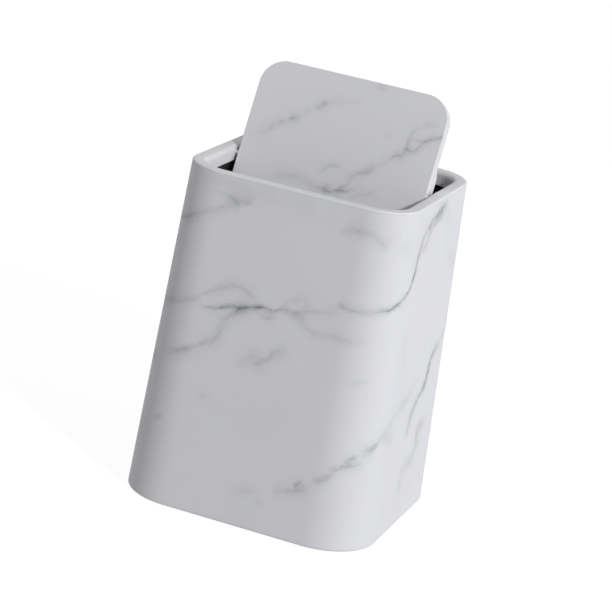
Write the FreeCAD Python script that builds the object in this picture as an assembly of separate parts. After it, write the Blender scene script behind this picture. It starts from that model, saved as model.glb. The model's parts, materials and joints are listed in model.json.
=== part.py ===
# Square bathroom bin with a swing lid: tapered shell, snap-in base, lift-out bucket, top frame and lid.
# Millimetres, +Z up, origin on the floor under the middle of the bin, front towards -Y.
import FreeCAD, Part
import math
import os

V = FreeCAD.Vector

# Shell
height = 280.8  # floor to the top of the rim
foot_lift = 1.0  # floor to the shell's lower edge
base_width = 215.0  # square plan at the lower edge
mouth_width = 192.4  # square plan at the rim
mouth_corner = 36.0
shell_wall = 2.4
lower_round = 1.5
ledge_depth = 14.3  # rim to the ledge that carries the bucket
ledge_edge = 2.0

# Top frame
rim_width = 11.55  # shell's outer face to the opening
rim_round = 1.5
cover_thick = 1.9  # frame above the shell's top edge
cover_gap = 0.1
frame_gap = 0.3  # frame to the shell's mouth
frame_wall = 1.8
frame_flange = 2.2
skirt_depth = 12.3
skirt_wall = 2.0
opening_round = 3.9
frame_rib = 1.6
frame_rib_pitch = 42.0
bearing_length = 22.0  # block round the pivot seat, along the side
bearing_ahead = 7.0  # how much of it lies ahead of the pivot

# Bucket
bucket_wall = 1.8
bucket_floor = 2.0
bucket_round = 8.0
bucket_draft = 2.0  # degrees
bucket_clear = 2.0  # bucket to the base plate
skirt_gap = 0.45  # frame's skirt to the bucket
ledge_gap = 0.4  # bucket to the ledge's inner edge
lip_thick = 2.5
lip_gap = 0.55  # lip to the shell's mouth

# Base plate and feet
base_gap = 0.25  # plate to the shell
base_recess = 0.4  # shell's lower edge to the plate's lower edge
base_wall = 2.0
base_floor = 2.2
base_upstand = 6.8
base_rib = 1.8
base_rib_height = 4.8
base_rib_pitch = 35.0
lug_length = 14.0
lug_height = 2.0
lug_reach = 0.8
lug_place = 30.0  # from the middle of each side
lug_drop = 2.0  # plate's top edge to the lug
lug_gap = 0.25
foot_radius = 9.0
foot_thick = 3.0
foot_round = 0.6
foot_inset = 38.0  # foot's axis from the sides of the plan
foot_socket_gap = 0.3
foot_socket_wall = 1.7
foot_neck_radius = 2.5
foot_neck_gap = 0.1
foot_barb_reach = 0.9
foot_barb_height = 2.6

# Lid
lid_open = 67.2  # degrees from closed, as photographed
lid_side_gap = 3.0
lid_end_gap = 1.8
lid_sink = 1.8  # closed lid's face below the rim
lid_thick = 12.8
face_thick = 1.2
face_round = 0.6
tray_top = 1.8
tray_wall = 2.4
tray_round = 1.6
tray_rib = 1.6
tray_rib_pitch = 28.0
ear_half = 20.0  # deeper part of the side walls, from the pivot
ear_slope = 6.0
ear_depth = 5.2
ear_round = 4.0
rib_over_bar = 0.6  # ribs stop this far above the bar
pin_radius = 1.5
pin_cover = 0.7  # tray left between the pin and the face
pin_embed = 10.0
pin_bearing = 3.0  # pin past the skirt
pin_tip_gap = 0.3
pin_tip_round = 0.4
pin_collar_radius = 2.4
pin_collar = 1.0
pin_boss_half = 3.6
pin_boss_length = 14.0

# Pivot slot in the frame's sides: the pin comes up the entry and snaps forward into its seat
seat_gap = 0.06
throat_snap = 0.15
entry_place = 6.15  # entry's middle behind the pivot
entry_gap = 0.25

# Counterweight under the lid
bar_length = 130.0
bar_width = 12.0
bar_thick = 4.0
bar_lift = 1.2  # tray's lower edge to the bar
clip_pitch = 45.0
clip_thick = 3.0
clip_post = 1.8
clip_gap = 0.15
clip_hook = 0.8
clip_under = 0.1

# Places that follow from the sizes above
mouth_half = mouth_width / 2
base_half = base_width / 2


def shell_half(z):
    """Half width of the shell's outer face at height z."""
    share = (z - foot_lift) / (height - foot_lift)
    return base_half + (mouth_half - base_half) * share


def mouth_inside(low):
    """Half width inside the shell where it is narrowest, from height low up to the rim."""
    return min(shell_half(low), shell_half(height)) - shell_wall


corner_axis = mouth_half - mouth_corner  # all square outlines turn their corners about these upright lines
cover_low = height - cover_thick
shell_top = cover_low - cover_gap
ledge_top = height - ledge_depth
lip_top = ledge_top + lip_thick
opening_half = mouth_half - rim_width
skirt_half = opening_half + skirt_wall
frame_half = mouth_inside(lip_top) - frame_gap
bucket_half = skirt_half + skirt_gap + bucket_wall
ledge_half = bucket_half + ledge_gap
lip_half = mouth_inside(ledge_top) - lip_gap
base_low = foot_lift + base_recess
base_top = foot_thick + base_floor + base_upstand
bucket_low = base_top + bucket_clear
foot_place = base_half - foot_inset
lid_half_x = opening_half - lid_side_gap
lid_half_y = opening_half - lid_end_gap
lid_corner = lid_half_x - corner_axis
lid_top = height - lid_sink
tray_high = lid_top - face_thick
tray_low = lid_top - lid_thick
tray_ceiling = tray_high - tray_top
pivot_z = tray_high - pin_cover - pin_radius
pin_tip = skirt_half + pin_bearing
bar_low = tray_low + bar_lift
bar_high = bar_low + bar_thick
past = 1.0  # how far cutting shapes run past a face


def outline(half_x, half_y, radius, z):
    """Rounded rectangle about the Z axis, counterclockwise."""
    inset = radius * (1 - math.sqrt(0.5))
    arcs = []
    for sx, sy in ((1, 1), (-1, 1), (-1, -1), (1, -1)):
        on_x_side = V(sx * half_x, sy * (half_y - radius), z)
        middle = V(sx * (half_x - inset), sy * (half_y - inset), z)
        on_y_side = V(sx * (half_x - radius), sy * half_y, z)
        ends = (on_x_side, on_y_side) if sx * sy > 0 else (on_y_side, on_x_side)
        arcs.append((ends[0], middle, ends[1]))
    edges = []
    for number, (start, middle, end) in enumerate(arcs):
        next_start = arcs[(number + 1) % len(arcs)][0]
        edges.append(Part.Arc(start, middle, end).toShape())
        edges.append(Part.LineSegment(end, next_start).toShape())
    return Part.Wire(edges)


def square(half, z):
    """Square outline whose corners are parallel to those of the mouth."""
    return outline(half, half, half - corner_axis, z)


def corner_face(z0, half0, z1, half1):
    """Round face of the corner between +X and +Y, a quarter of a cone or cylinder."""
    radius0 = half0 - corner_axis
    radius1 = half1 - corner_axis
    foot = V(corner_axis, corner_axis, z0)
    if abs(radius0 - radius1) < 1e-6:
        wedge = Part.makeCylinder(radius0, z1 - z0, foot, V(0, 0, 1), 90)
    else:
        wedge = Part.makeCone(radius0, radius1, z1 - z0, foot, V(0, 0, 1), 90)
    return next(face for face in wedge.Faces if face.Surface.TypeId != "Part::GeomPlane")


def tapered(sections):
    """Solid with flat sides and conical corners through square outlines of (height, half width)."""
    faces = []
    for (z0, half0), (z1, half1) in zip(sections, sections[1:]):
        side_points = [V(half0, -corner_axis, z0), V(half0, corner_axis, z0)]
        side_points += [V(half1, corner_axis, z1), V(half1, -corner_axis, z1)]
        side = Part.Face(Part.makePolygon(side_points + side_points[:1]))
        corner = corner_face(z0, half0, z1, half1)
        for quarter in range(4):
            faces += [turned(side, quarter), turned(corner, quarter)]
    faces += [Part.Face(square(half, z)) for z, half in (sections[0], sections[-1])]
    skin = Part.makeShell(faces)
    skin.sewShape()
    solid = Part.makeSolid(skin)
    if solid.Volume < 0:
        solid.reverse()
    return solid


def upright(half, low, high):
    """Straight solid with the corners of the mouth."""
    return Part.Face(square(half, low)).extrude(V(0, 0, high - low))


def box(x0, x1, y0, y1, z0, z1):
    return Part.makeBox(x1 - x0, y1 - y0, z1 - z0, V(x0, y0, z0))


def rod(radius, x0, x1, y, z):
    """Cylinder along X."""
    return Part.makeCylinder(radius, x1 - x0, V(x0, y, z), V(1, 0, 0))


def turned(shape, quarter):
    """Copy turned by a number of quarter turns about the Z axis."""
    copy = shape.copy()
    copy.rotate(V(0, 0, 0), V(0, 0, 1), 90 * quarter)
    return copy


def mirrored(shape):
    """Copy on the other side of the YZ plane."""
    return shape.mirror(V(0, 0, 0), V(1, 0, 0))


def reach(edge):
    """Furthest that an edge gets from the Z axis, along X or Y."""
    bounds = edge.BoundBox
    return max(abs(bounds.XMin), abs(bounds.XMax), abs(bounds.YMin), abs(bounds.YMax))


def level_edges(shape, z):
    """Edges that lie at height z."""
    found = []
    for edge in shape.Edges:
        bounds = edge.BoundBox
        if max(abs(bounds.ZMin - z), abs(bounds.ZMax - z)) < 1e-4:
            found.append(edge)
    return found


def joined(shapes):
    return shapes[0].multiFuse(shapes[1:]) if len(shapes) > 1 else shapes[0]


def lug_boxes(spread, depth):
    """Blocks for the snap lugs on the four sides, grown by spread, from the plate's wall out to depth."""
    lug_z = base_top - lug_drop - lug_height
    wall_face = shell_half(lug_z) - shell_wall
    blocks = []
    for quarter in range(4):
        for place in (-lug_place, lug_place):
            half_length = lug_length / 2 + spread
            block = box(wall_face - base_gap - base_wall / 2, wall_face + depth, place - half_length,
                        place + half_length, lug_z - spread, lug_z + lug_height + spread)
            blocks.append(turned(block, quarter))
    return joined(blocks)


def outer_shell():
    body = tapered([(z, shell_half(z)) for z in (foot_lift, shell_top)])
    body = body.makeFillet(lower_round, level_edges(body, foot_lift))
    ledge_step = shell_half(ledge_top) - shell_wall - ledge_half
    slope_top = ledge_top - ledge_edge
    slope_low = slope_top - ledge_step  # underside of the ledge rises at about 45 degrees
    lower = [(z, shell_half(z) - shell_wall) for z in (foot_lift - past, slope_low)]
    lower += [(slope_top, ledge_half), (shell_top + past, ledge_half)]
    mouth = [(z, shell_half(z) - shell_wall) for z in (ledge_top, shell_top + past)]
    pockets = lug_boxes(lug_gap, lug_reach + lug_gap)
    return body.cut(tapered(lower)).cut(tapered(mouth)).cut(pockets)


def base_plate():
    def layer(low, high, inset):
        return tapered([(z, shell_half(z) - shell_wall - base_gap - inset) for z in (low, high)])

    floor_top = foot_thick + base_floor
    pan = layer(base_low, base_top, 0)
    inside = layer(floor_top, base_top + past, base_wall)
    ribs = []
    for place in (-base_rib_pitch, 0, base_rib_pitch):
        ribs.append(box(-base_half, base_half, place - base_rib / 2, place + base_rib / 2,
                        floor_top, floor_top + base_rib_height))
    ribs += [turned(rib, 1) for rib in ribs]
    underside = layer(base_low - past, foot_thick, base_wall)
    socket_radius = foot_radius + foot_socket_gap + foot_socket_wall
    for x, y in foot_places().values():
        underside = underside.cut(Part.makeCylinder(socket_radius, foot_thick, V(x, y, 0)))
    plate = pan.cut(inside.cut(joined(ribs))).cut(underside)
    for x, y in foot_places().values():
        plate = plate.cut(Part.makeCylinder(foot_radius + foot_socket_gap, foot_thick, V(x, y, 0)))
        plate = plate.cut(Part.makeCylinder(foot_neck_radius + foot_neck_gap, height, V(x, y, 0)))
    return plate.fuse(lug_boxes(0, lug_reach))


def foot_places():
    return {
        "foot_front_left": (-foot_place, -foot_place),
        "foot_front_right": (foot_place, -foot_place),
        "foot_rear_left": (-foot_place, foot_place),
        "foot_rear_right": (foot_place, foot_place),
    }


def foot(x, y):
    """Push-in rubber foot: pad, neck through the plate and a barb above it."""
    floor_top = foot_thick + base_floor
    barb_low = floor_top + foot_neck_gap
    barb_radius = foot_neck_radius + foot_barb_reach
    profile = [
        (0, 0),
        (foot_radius - foot_round, 0),
        (foot_radius, foot_round),
        (foot_radius, foot_thick),
        (foot_neck_radius, foot_thick),
        (foot_neck_radius, barb_low),
        (barb_radius, barb_low),
        (foot_neck_radius - foot_barb_reach, barb_low + foot_barb_height),
        (0, barb_low + foot_barb_height),
        (0, 0),
    ]
    face = Part.Face(Part.makePolygon([V(r, 0, z) for r, z in profile]))
    pad = face.revolve(V(0, 0, 0), V(0, 0, 1), 360)
    pad.translate(V(x, y, 0))
    return pad


def inner_bucket():
    slope = math.tan(math.radians(bucket_draft))

    def section(z, inset):
        return z, bucket_half - inset - (lip_top - z) * slope

    outside = tapered([section(bucket_low, 0), section(lip_top, 0)])
    outside = outside.makeFillet(bucket_round, level_edges(outside, bucket_low))
    floor_top = bucket_low + bucket_floor
    inside = tapered([section(floor_top, bucket_wall), section(lip_top + past, bucket_wall)])
    inside = inside.makeFillet(bucket_round - bucket_wall, level_edges(inside, floor_top))
    return outside.fuse(upright(lip_half, ledge_top, lip_top)).cut(inside)


def pivot_slot():
    """L-shaped slot in the right side: entry from below, narrow throat and round seat."""
    x0 = opening_half - past
    x1 = pin_tip + pin_tip_gap
    entry_half = pin_radius + entry_gap
    throat_half = pin_radius - throat_snap
    seat = rod(pin_radius + seat_gap, x0, x1, 0, pivot_z)
    throat = box(x0, x1, 0, entry_place, pivot_z - throat_half, pivot_z + throat_half)
    entry_end = rod(entry_half, x0, x1, entry_place, pivot_z)
    entry_low = height - skirt_depth - past
    entry = box(x0, x1, entry_place - entry_half, entry_place + entry_half, entry_low, pivot_z)
    return joined([seat, throat, entry_end, entry])


def top_frame():
    skirt_low = height - skirt_depth
    ring = upright(frame_half, lip_top, height).fuse(upright(skirt_half, skirt_low, height))
    ring = ring.fuse(upright(shell_half(cover_low), cover_low, height))
    ring = ring.cut(upright(opening_half, skirt_low - past, height + past)).removeSplitter()
    rim_middle = (opening_half + frame_half) / 2
    inner_edges = [edge for edge in level_edges(ring, height) if reach(edge) < rim_middle]
    ring = ring.makeFillet(opening_round, inner_edges)
    outer_edges = [edge for edge in level_edges(ring, height) if reach(edge) > rim_middle]
    ring = ring.makeFillet(rim_round, outer_edges)
    channel_top = height - frame_flange
    channel = upright(frame_half - frame_wall, lip_top - past, channel_top)
    channel = channel.cut(upright(skirt_half, lip_top - past, channel_top))
    blocks = []
    for quarter in range(4):
        for place in (-frame_rib_pitch, 0, frame_rib_pitch):
            rib = box(opening_half, frame_half, place - frame_rib / 2, place + frame_rib / 2, lip_top, height)
            blocks.append(turned(rib, quarter))
    bearing = box(opening_half, frame_half, -bearing_ahead, bearing_length - bearing_ahead, lip_top, height)
    blocks += [bearing, mirrored(bearing)]
    ring = ring.cut(channel.cut(joined(blocks)))
    return ring.cut(pivot_slot()).cut(mirrored(pivot_slot()))


def lid_block(low, high, inset):
    """Closed lid's outline, drawn in by inset."""
    wire = outline(lid_half_x - inset, lid_half_y - inset, lid_corner - inset, low)
    return Part.Face(wire).extrude(V(0, 0, high - low))


def lid_face():
    sheet = lid_block(tray_high, lid_top, 0)
    return sheet.makeFillet(face_round, level_edges(sheet, lid_top))


def bar_clip(x):
    """Saddle above the counterweight, with a hooked post on each side of it."""
    bar_side = bar_width / 2
    post_in = bar_side + clip_gap
    post_out = post_in + clip_post
    hook_high = bar_low - clip_under
    hook_low = hook_high - clip_hook
    x0 = x - clip_thick / 2
    x1 = x + clip_thick / 2
    solids = [box(x0, x1, -post_out, post_out, bar_high, tray_high - tray_top / 2)]
    for side in (-1, 1):
        ys = sorted((side * post_in, side * post_out))
        solids.append(box(x0, x1, ys[0], ys[1], hook_low, bar_high + clip_post))
        ys = sorted((side * (bar_side - clip_hook), side * post_out))
        solids.append(box(x0, x1, ys[0], ys[1], hook_low, hook_high))
    return joined(solids)


def tray_ear():
    """Deeper part of the right side wall, under the pivot."""
    x0 = lid_half_x - tray_wall
    ear_low = tray_low - ear_depth
    ear_high = tray_low + tray_round
    corners = [(-ear_half - ear_slope, ear_high), (-ear_half, ear_low), (ear_half, ear_low)]
    corners += [(ear_half + ear_slope, ear_high), (-ear_half - ear_slope, ear_high)]
    face = Part.Face(Part.makePolygon([V(x0, y, z) for y, z in corners]))
    ear = face.extrude(V(tray_wall, 0, 0))
    low_edges = [edge for edge in level_edges(ear, ear_low) if edge.BoundBox.XLength > tray_wall / 2]
    return ear.makeFillet(ear_round, low_edges)


def lid_tray():
    tray = lid_block(tray_low, tray_high, 0)
    tray = tray.makeFillet(tray_round, level_edges(tray, tray_low))
    inside = lid_block(tray_low - past, tray_ceiling, tray_wall)
    rib_low = bar_high + rib_over_bar
    ribs = []
    for step in (-2, -1, 1, 2):
        near = step * tray_rib_pitch - tray_rib / 2
        far = step * tray_rib_pitch + tray_rib / 2
        ribs.append(box(near, far, -lid_half_y, lid_half_y, rib_low, tray_high))
        ribs.append(box(-lid_half_x, lid_half_x, near, far, rib_low, tray_high))
    boss = box(lid_half_x - pin_boss_length, lid_half_x, -pin_boss_half, pin_boss_half,
               pivot_z - pin_boss_half, tray_high)
    clips = joined([bar_clip(x) for x in (-clip_pitch, 0, clip_pitch)])
    tray = tray.cut(inside.cut(joined(ribs + [boss, mirrored(boss)])))
    tray = tray.multiFuse([clips, tray_ear(), mirrored(tray_ear())])
    bore = rod(pin_radius, lid_half_x - pin_embed, lid_half_x + past, 0, pivot_z)
    return tray.cut(bore).cut(mirrored(bore))


def pivot_pin():
    """Right-hand pin with its collar against the lid's side."""
    shank = rod(pin_radius, lid_half_x - pin_embed, pin_tip, 0, pivot_z)
    tip = [edge for edge in shank.Edges if abs(edge.BoundBox.XMin - pin_tip) < 1e-4]
    shank = shank.makeFillet(pin_tip_round, tip)
    return shank.fuse(rod(pin_collar_radius, lid_half_x, lid_half_x + pin_collar, 0, pivot_z))


def counterweight_bar():
    bar = box(-bar_length / 2, bar_length / 2, -bar_width / 2, bar_width / 2, bar_low, bar_high)
    ends = [edge for edge in bar.Edges if edge.BoundBox.ZLength > bar_thick / 2]
    return bar.makeFillet(bar_width / 5, ends)


def opened(shape):
    """Lid piece turned from closed to the photographed angle, rear edge up."""
    copy = shape.copy()
    copy.rotate(V(0, 0, pivot_z), V(1, 0, 0), lid_open)
    return copy


pieces = {
    "outer_shell": outer_shell(),
    "base_plate": base_plate(),
    "inner_bucket": inner_bucket(),
    "top_frame": top_frame(),
    "lid_face": opened(lid_face()),
    "lid_tray": opened(lid_tray()),
    "pivot_pin_right": opened(pivot_pin()),
    "pivot_pin_left": opened(mirrored(pivot_pin())),
    "counterweight_bar": opened(counterweight_bar()),
}
for foot_name, (foot_x, foot_y) in foot_places().items():
    pieces[foot_name] = foot(foot_x, foot_y)

os.makedirs("parts", exist_ok=True)
for name, shape in pieces.items():
    solid = shape.removeSplitter().Solids[0]
    print(name, "solids", len(shape.Solids), "valid", solid.isValid(), "volume", round(solid.Volume, 1))
    solid.exportStep("parts/" + name + ".step")
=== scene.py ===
# Square bathroom bin with a swing lid: a marble-printed shell and lid, white mouldings and a black bucket.
import json
import math

import bpy
import numpy as np
from mathutils import Matrix, Vector


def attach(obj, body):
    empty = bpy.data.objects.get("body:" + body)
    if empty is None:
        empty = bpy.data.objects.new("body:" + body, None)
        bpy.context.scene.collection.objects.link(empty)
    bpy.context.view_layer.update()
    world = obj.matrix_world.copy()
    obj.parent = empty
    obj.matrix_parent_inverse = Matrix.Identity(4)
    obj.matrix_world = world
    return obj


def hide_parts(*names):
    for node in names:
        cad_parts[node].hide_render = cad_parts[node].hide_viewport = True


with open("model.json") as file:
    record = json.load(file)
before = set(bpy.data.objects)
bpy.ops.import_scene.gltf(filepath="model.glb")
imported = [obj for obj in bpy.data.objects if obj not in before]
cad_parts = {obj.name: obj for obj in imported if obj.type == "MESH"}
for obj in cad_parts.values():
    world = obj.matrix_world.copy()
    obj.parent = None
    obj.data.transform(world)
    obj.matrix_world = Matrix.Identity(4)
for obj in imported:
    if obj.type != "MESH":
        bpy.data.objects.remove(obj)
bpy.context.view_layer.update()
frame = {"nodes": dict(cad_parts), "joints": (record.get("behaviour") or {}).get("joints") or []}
print("frame loaded with", len(frame["nodes"]), "nodes")

# Sizes are in millimetres, in the frame of the CAD model. makeObject turns them into metres.
perMetre = 1000
binPlan = {
    "cornerAxis": 60.2,  # upright lines that all square outlines turn their corners about
    "footHalf": 107.5,
    "mouthHalf": 96.2,
    "lowEdge": 1.0,
    "rim": 280.8,
    "shellTop": 278.8,  # the frame covers the shell's top edge
    "wall": 2.4,
    "girthRadius": 42.0,  # corner radius by which lengths round the wall are counted
}
meshing = {
    "arcTurn": math.radians(12),  # largest turn between two points of an arc
    "arcPoints": 3,  # fewest points of an arc
    "crease": math.radians(38),  # edges that bend more stay crisp
}
lidJoint = next(joint for joint in frame["joints"] if joint["name"] == "lid_swing")
pivotHeight = lidJoint["pos_m"][2] * perMetre
lidTilt = math.radians(90 - lidJoint["range_deg"][1])  # the lid swings a quarter turn each way from closed
axis = binPlan["cornerAxis"]


# Straight taper of the outer wall, as its distance from the corner axes at a height
def wallReach(height):
    share = (height - binPlan["lowEdge"]) / (binPlan["rim"] - binPlan["lowEdge"])
    return binPlan["footHalf"] + (binPlan["mouthHalf"] - binPlan["footHalf"]) * share - axis


# Rounded rectangle as base points and outward normals: four straight runs, each followed by a quarter turn
# about a corner axis. A point of the outline is base + normal * reach.
def pathAround(axisX, axisY, sideSteps, cornerSteps):
    corners = np.array([(1, -1), (1, 1), (-1, 1), (-1, -1)]) * (axisX, axisY)
    along = np.arange(sideSteps)[:, None] / sideSteps
    turn = np.arange(cornerSteps) / cornerSteps * math.pi / 2
    bases = []
    normals = []
    for number, corner in enumerate(corners):
        before = corners[number - 1]
        bases += [before + (corner - before) * along, np.repeat(corner[None], cornerSteps, 0)]
        facing = math.pi / 2 * (number - 1)
        angles = np.concatenate([np.full(sideSteps, facing), facing + turn])
        normals.append(np.stack([np.cos(angles), np.sin(angles)], 1))
    return np.concatenate(bases), np.concatenate(normals)


# Circle about the Z axis in the same form, with every base point on the axis
def pathRound(steps):
    angles = np.arange(steps) / steps * 2 * math.pi
    return np.zeros((steps, 2)), np.stack([np.cos(angles), np.sin(angles)], 1)


# Section of (reach, height, radius) corners: each corner becomes an arc tangent to both runs, and runs longer
# than step are divided.
def roundedProfile(corners, step, closed=False):
    places = np.array([corner[:2] for corner in corners], float)
    pieces = []
    for number, (place, corner) in enumerate(zip(places, corners)):
        inner = closed or 0 < number < len(corners) - 1
        if not inner or corner[2] == 0:
            pieces.append(place[None])
            continue
        ways = np.array([places[number - 1], places[(number + 1) % len(corners)]]) - place
        ways /= np.linalg.norm(ways, axis=1)[:, None]
        between = math.acos(np.clip(ways[0] @ ways[1], -1, 1))
        bend = math.pi - between
        middle = place + ways.sum(0) / np.linalg.norm(ways.sum(0)) * corner[2] / math.sin(between / 2)
        spokes = place + ways * corner[2] / math.tan(between / 2) - middle
        count = max(meshing["arcPoints"], math.ceil(bend / meshing["arcTurn"]))
        share = np.linspace(0, 1, count)[:, None]
        arc = (np.sin((1 - share) * bend) * spokes[0] + np.sin(share * bend) * spokes[1]) / math.sin(bend)
        pieces.append(middle + arc)
    line = np.concatenate(pieces)
    far = np.roll(line, -1, 0) if closed else line[1:]
    near = line if closed else line[:-1]
    counts = np.maximum(1, np.ceil(np.linalg.norm(far - near, axis=1) / step)).astype(int)
    share = np.concatenate([np.arange(count) / count for count in counts])[:, None]
    filled = np.repeat(near, counts, 0) * (1 - share) + np.repeat(far, counts, 0) * share
    return filled if closed else np.vstack([filled, line[-1:]])


# Profile of (reach, height) carried round a path: a point is base + normal * reach, at that height.
# The ends of the profile are joined to each other, or closed by flat caps.
def sweep(path, profile, ends):
    base, normal = path
    rows, cols = len(base), len(profile)
    flat = base[:, None] + normal[:, None] * profile[None, :, :1]
    high = np.broadcast_to(profile[None, :, 1:], (rows, cols, 1))
    points = np.concatenate([flat, high], 2).reshape(-1, 3)
    index = np.arange(rows * cols).reshape(rows, cols)
    if ends == "joined":
        index = np.hstack([index, index[:, :1]])
    index = np.vstack([index, index[:1]])
    corners = [index[:-1, :-1], index[1:, :-1], index[1:, 1:], index[:-1, 1:]]
    faces = np.stack(corners, 2).reshape(-1, 4).tolist()
    if ends == "capped":
        faces += [index[-2::-1, 0].tolist(), index[:-1, -1].tolist()]
    return points, faces


blockSizes = {
    "cap": 0.25,  # flat end's start and the rounding, in widths of the edge
    "round": 0.7,
    "cornerSteps": 3,
    "step": 40,
}


# Box with rounded edges: a small rounded rectangle swept by an upright profile
def block(low, high, edge):
    low = np.array(low, float)
    high = np.array(high, float)
    half = (high - low)[:2] / 2 - edge
    cap = edge * blockSizes["cap"]
    bend = edge * blockSizes["round"]
    corners = [(cap, low[2], 0), (edge, low[2], bend), (edge, high[2], bend), (cap, high[2], 0)]
    path = pathAround(half[0], half[1], 1, blockSizes["cornerSteps"])
    points, faces = sweep(path, roundedProfile(corners, blockSizes["step"]), "capped")
    return points + [*((low + high)[:2] / 2), 0], faces


# Turned piece: (radius, height) corners carried round the Z axis at a place
def turned(corners, place, steps, step):
    points, faces = sweep(pathRound(steps), roundedProfile(corners, step), "capped")
    return points + np.array(place), faces


# The same shape with its height along X
def alongX(part):
    return part[0][:, [2, 0, 1]], part[1]


# One list of points and faces out of several
def joined(parts):
    counts = np.cumsum([0] + [len(points) for points, faces in parts])
    faces = [[corner + count for corner in face] for count, part in zip(counts, parts) for face in part[1]]
    return np.concatenate([points for points, faces in parts]), faces


# Closed lid turned about its pivot line to the angle at rest
def openLid(part):
    x, y, z = part[0].T
    z = z - pivotHeight
    rise = y * math.sin(lidTilt) + z * math.cos(lidTilt) + pivotHeight
    return np.stack([x, y * math.cos(lidTilt) - z * math.sin(lidTilt), rise], 1), part[1]


# Object at the origin from points in millimetres and faces
def makeObject(name, part):
    mesh = bpy.data.meshes.new(name)
    mesh.from_pydata((part[0] / perMetre).tolist(), [], part[1])
    made = bpy.data.objects.new(name, mesh)
    bpy.context.scene.collection.objects.link(made)
    return made


# Smooth faces with crisp edges, the finish, and the CAD node that the piece stands for
def finishPiece(made, node, body, finish):
    mesh = made.data
    mesh.polygons.foreach_set("use_smooth", np.ones(len(mesh.polygons), bool))
    mesh.set_sharp_from_angle(angle=meshing["crease"])
    mesh.materials.clear()
    mesh.materials.append(finish)
    mesh.validate()
    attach(made, body)
    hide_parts(node)
    print("piece", made.name, "faces", len(mesh.polygons))


# Node with its settings. A socket among the inputs is linked, any other value is set.
def addNode(tree, kind, inputs, **settings):
    made = tree.nodes.new(kind)
    for key, value in settings.items():
        setattr(made, key, value)
    for key, value in inputs.items():
        if isinstance(value, bpy.types.NodeSocket):
            tree.links.new(value, made.inputs[key])
        else:
            made.inputs[key].default_value = value
    return made


def maths(tree, operation, *values):
    return addNode(tree, "ShaderNodeMath", dict(enumerate(values)), operation=operation).outputs[0]


def ramp(tree, value, fromLow, fromHigh, toLow, toHigh, easing="LINEAR"):
    inputs = {"Value": value, "From Min": fromLow, "From Max": fromHigh, "To Min": toLow, "To Max": toHigh}
    return addNode(tree, "ShaderNodeMapRange", inputs, interpolation_type=easing).outputs[0]


def mixColour(tree, share, first, second):
    return addNode(tree, "ShaderNodeMix", {0: share, 6: first, 7: second}, data_type="RGBA").outputs[2]


def noise(tree, place, scale, detail=2.0, roughness=0.5):
    inputs = {"Vector": place, "Scale": scale, "Detail": detail, "Roughness": roughness}
    return addNode(tree, "ShaderNodeTexNoise", inputs).outputs["Fac"]


# Two noises in one: the first by its share, the second by the rest
def blend(tree, first, second, share):
    rest = maths(tree, "MULTIPLY", second, 1 - share)
    return maths(tree, "ADD", maths(tree, "MULTIPLY", first, share), rest)


def newGroup(name, inputs, outputs):
    group = bpy.data.node_groups.new(name, "ShaderNodeTree")
    for label, kind in inputs:
        group.interface.new_socket(label, in_out="INPUT", socket_type=kind)
    for label, kind in outputs:
        group.interface.new_socket(label, in_out="OUTPUT", socket_type=kind)
    entry = group.nodes.new("NodeGroupInput").outputs
    leaving = group.nodes.new("NodeGroupOutput").inputs
    return group, entry, leaving


def placeGroup(tree, group, inputs):
    return addNode(tree, "ShaderNodeGroup", inputs, node_tree=group).outputs


def newFinish(name):
    finish = bpy.data.materials.new(name)
    finish.use_nodes = True
    tree = finish.node_tree
    shader = tree.nodes["Principled BSDF"]
    place = addNode(tree, "ShaderNodeTexCoord", {}).outputs["Object"]
    return finish, tree, shader, place


skinLook = {
    "grainDetail": 3.0,
    "grainRoughness": 0.62,
    "slowNoise": (26.0, 2.0),  # scale and detail
    "patchNoise": (7.0, 1.0),
    "slowShare": 0.6,  # of the tint, the rest follows the patches
    "wearShare": 0.7,  # of the gloss, the rest follows the grain
    "wearRange": (0.3, 0.7),
    "depth": 0.0001,  # metres
}


# Moulded skin: a fine eroded grain over slow unevenness, which tints the colour and changes the roughness
def mouldedSkinGroup():
    floats = ["Grain Scale", "Tint Change", "Roughness Low", "Roughness High"]
    inputs = [("Place", "NodeSocketVector"), ("Colour", "NodeSocketColor")]
    inputs += [(label, "NodeSocketFloat") for label in floats]
    outputs = [("Colour", "NodeSocketColor"), ("Roughness", "NodeSocketFloat"), ("Grain", "NodeSocketFloat")]
    group, entry, leaving = newGroup("MouldedSkin", inputs, outputs)
    place = entry["Place"]
    fine = noise(group, place, entry["Grain Scale"], skinLook["grainDetail"], skinLook["grainRoughness"])
    slow = noise(group, place, *skinLook["slowNoise"])
    patch = noise(group, place, *skinLook["patchNoise"])
    shade = maths(group, "SUBTRACT", blend(group, slow, patch, skinLook["slowShare"]), 0.5)
    bright = maths(group, "ADD", maths(group, "MULTIPLY", shade, entry["Tint Change"]), 1.0)
    tint = addNode(group, "ShaderNodeVectorMath", {0: entry["Colour"], "Scale": bright}, operation="SCALE")
    wear = blend(group, slow, fine, skinLook["wearShare"])
    gloss = ramp(group, wear, *skinLook["wearRange"], entry["Roughness Low"], entry["Roughness High"])
    group.links.new(tint.outputs[0], leaving["Colour"])
    group.links.new(gloss, leaving["Roughness"])
    group.links.new(fine, leaving["Grain"])
    return group


# Widths are in vein widths. Breaks and streaks are a range of noise and the share left where it is low.
veinLook = {
    "coreWidth": 1.1,
    "coreInk": 0.8,
    "corePower": 1.8,  # faint ink has no dark core
    "coreBreaks": (0.38, 0.6, 0.3),
    "bandWidth": 3.4,
    "bandInk": 0.85,
    "bandBreaks": (0.36, 0.62, 0.55),
    "streaks": (0.34, 0.66, 0.1),
    "streakNoise": (0.08, 4.0, 0.62),  # scale, detail and roughness
    "streakFine": 11.0,  # makes the streaks narrow across the vein
    "cloudWidth": 9.0,
    "cloudBreaks": (0.32, 0.68, 0.0),
}


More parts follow.
